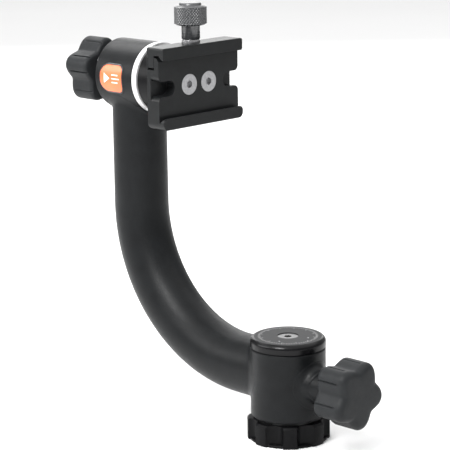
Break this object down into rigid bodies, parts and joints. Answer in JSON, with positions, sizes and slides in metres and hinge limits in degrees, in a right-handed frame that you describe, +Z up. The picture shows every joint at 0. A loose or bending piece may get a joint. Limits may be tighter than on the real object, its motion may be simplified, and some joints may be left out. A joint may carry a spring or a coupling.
{
  "type": "side mount gimbal head",
  "caption": "Side-mount gimbal tripod head: curved arm from a pan base to a tilt housing with a dovetail quick-release clamp, star lock knobs and a knurled clamp knob.",
  "frame": {"origin": "centre of the tripod thread at the base's bottom face, on the pan axis", "axes": "+Z up along the pan axis; the arm leaves towards -X; the tilt axis runs along X and the dovetail clamp faces +X with its channel along Y"},
  "size_m": [0.2214, 0.064, 0.2445],
  "materials": {
    "black_powder_coat": "fine textured black powder coat",
    "anodised_black": "satin black anodised aluminium",
    "raw_aluminium": "machined aluminium, hidden inside",
    "stainless_steel": "plain stainless steel",
    "black_rubber": "matt charcoal moulded rubber",
    "brass": "turned brass",
    "cage_nylon": "natural nylon",
    "pale_anodised": "pale satin anodised ring",
    "orange_enamel": "glossy orange enamel in a dark rim, with no mark on it"
  },
  "bodies": {
    "base": {"base_ring": "anodised_black", "base_screws": "stainless_steel", "pan_spindle": "anodised_black", "pan_cap": "anodised_black", "cap_screw": "stainless_steel", "cap_spacer": "raw_aluminium", "pan_inner_races": "stainless_steel"},
    "arm": {"pan_housing": "black_powder_coat", "pan_outer_races": "stainless_steel", "arm_tube": "black_powder_coat", "arm_plug_lower": "raw_aluminium", "arm_plug_upper": "raw_aluminium", "arm_bolt_lower": "stainless_steel", "arm_bolt_upper": "stainless_steel", "tilt_housing": "black_powder_coat", "tilt_rear_cover": "black_powder_coat", "rear_cover_screws": "stainless_steel", "tilt_badge": "orange_enamel", "index_ring": "pale_anodised", "index_ring_screws": "stainless_steel", "tilt_outer_races": "stainless_steel"},
    "pan_ball_set": {"pan_ball_cages": "cage_nylon", "pan_balls": "stainless_steel"},
    "pan_brake": {"pan_brake_shoe": "brass"},
    "pan_knob": {"pan_knob_stud": "stainless_steel", "pan_knob_grip": "black_rubber"},
    "cradle": {"tilt_rotor": "black_powder_coat", "tilt_spindle": "raw_aluminium", "tilt_circlip": "stainless_steel", "tilt_inner_races": "stainless_steel", "clamp_body": "anodised_black", "clamp_screws": "stainless_steel", "jaw_springs": "stainless_steel"},
    "tilt_ball_set": {"tilt_ball_cages": "cage_nylon", "tilt_balls": "stainless_steel"},
    "tilt_brake": {"tilt_brake_pad": "brass"},
    "tilt_knob": {"tilt_knob_stud": "stainless_steel", "tilt_knob_grip": "black_rubber"},
    "jaw": {"clamp_jaw": "anodised_black", "jaw_guide_pins": "stainless_steel", "clamp_washer": "stainless_steel"},
    "jaw_knob": {"clamp_knob": "anodised_black"}
  },
  "joints": [
    {"name": "pan", "type": "hinge", "parent": "base", "child": "arm", "pos_m": [0, 0, 0.03], "axis": [0, 0, 1], "continuous": true},
    {"name": "pan_balls_orbit", "type": "hinge", "parent": "base", "child": "pan_ball_set", "pos_m": [0, 0, 0.03], "axis": [0, 0, 1], "continuous": true},
    {"name": "pan_knob_turn", "type": "hinge", "parent": "pan_brake", "child": "pan_knob", "pos_m": [0.03, 0, 0.0352], "axis": [1, 0, 0], "range_deg": [0, 361]},
    {"name": "pan_brake_slide", "type": "slide", "parent": "arm", "child": "pan_brake", "axis": [1, 0, 0], "range_m": [0, 0.00125]},
    {"name": "tilt", "type": "hinge", "parent": "arm", "child": "cradle", "pos_m": [-0.1, 0, 0.1985], "axis": [1, 0, 0], "continuous": true},
    {"name": "tilt_balls_orbit", "type": "hinge", "parent": "arm", "child": "tilt_ball_set", "pos_m": [-0.12, 0, 0.1985], "axis": [1, 0, 0], "continuous": true},
    {"name": "tilt_knob_turn", "type": "hinge", "parent": "tilt_brake", "child": "tilt_knob", "pos_m": [-0.14, 0, 0.1985], "axis": [-1, 0, 0], "range_deg": [0, 361]},
    {"name": "tilt_brake_slide", "type": "slide", "parent": "arm", "child": "tilt_brake", "axis": [-1, 0, 0], "range_m": [0, 0.00125]},
    {"name": "jaw_slide", "type": "slide", "parent": "cradle", "child": "jaw", "axis": [0, 0, 1], "range_m": [-0.0011, 0.0055], "deforming": ["jaw_springs"]},
    {"name": "clamp_knob_turn", "type": "hinge", "parent": "jaw", "child": "jaw_knob", "pos_m": [-0.07455, 0, 0.225], "axis": [0, 0, 1], "range_deg": [-496, 2476]}
  ],
  "couplings": [
    {"joint": "pan_balls_orbit", "follows": "pan", "ratio": 0.56538},
    {"joint": "tilt_balls_orbit", "follows": "tilt", "ratio": 0.45319},
    {"joint": "pan_knob_turn", "follows": "pan_brake_slide", "rad_per_m": 5026.5},
    {"joint": "tilt_knob_turn", "follows": "tilt_brake_slide", "rad_per_m": 5026.5},
    {"joint": "clamp_knob_turn", "follows": "jaw_slide", "rad_per_m": 7854}
  ]
}
